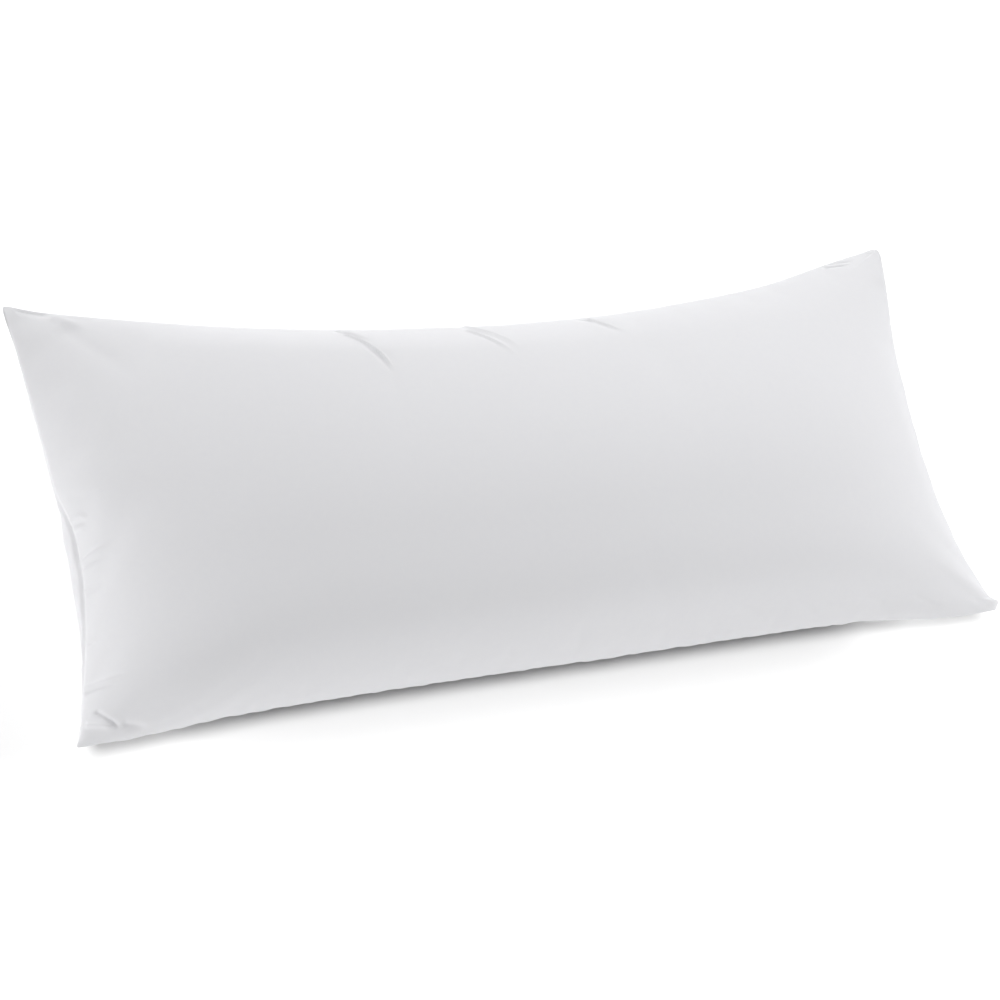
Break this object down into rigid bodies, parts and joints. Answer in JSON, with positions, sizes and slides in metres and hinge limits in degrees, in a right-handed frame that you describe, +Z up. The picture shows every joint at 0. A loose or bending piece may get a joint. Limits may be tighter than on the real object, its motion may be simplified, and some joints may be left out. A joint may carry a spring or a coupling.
{
  "type": "throw pillow insert",
  "caption": "Long lumbar cushion insert: plain white filled pillow with a knife-edge seam, lying on its back, with a crowned face and sides drawn in between its corners.",
  "frame": {"origin": "on the surface that the insert lies on, under the middle of its four corner tips", "axes": "+X along the length, towards the right of the face; +Y across the face, towards the long side that is drawn in more; +Z up, out of the face"},
  "size_m": [0.914, 0.406, 0.16],
  "materials": {
    "cover_fabric": "matt brushed microfibre, fine plain weave, white and a little cool"
  },
  "bodies": {
    "root": {"pillow_insert": "cover_fabric"}
  },
  "joints": []
}
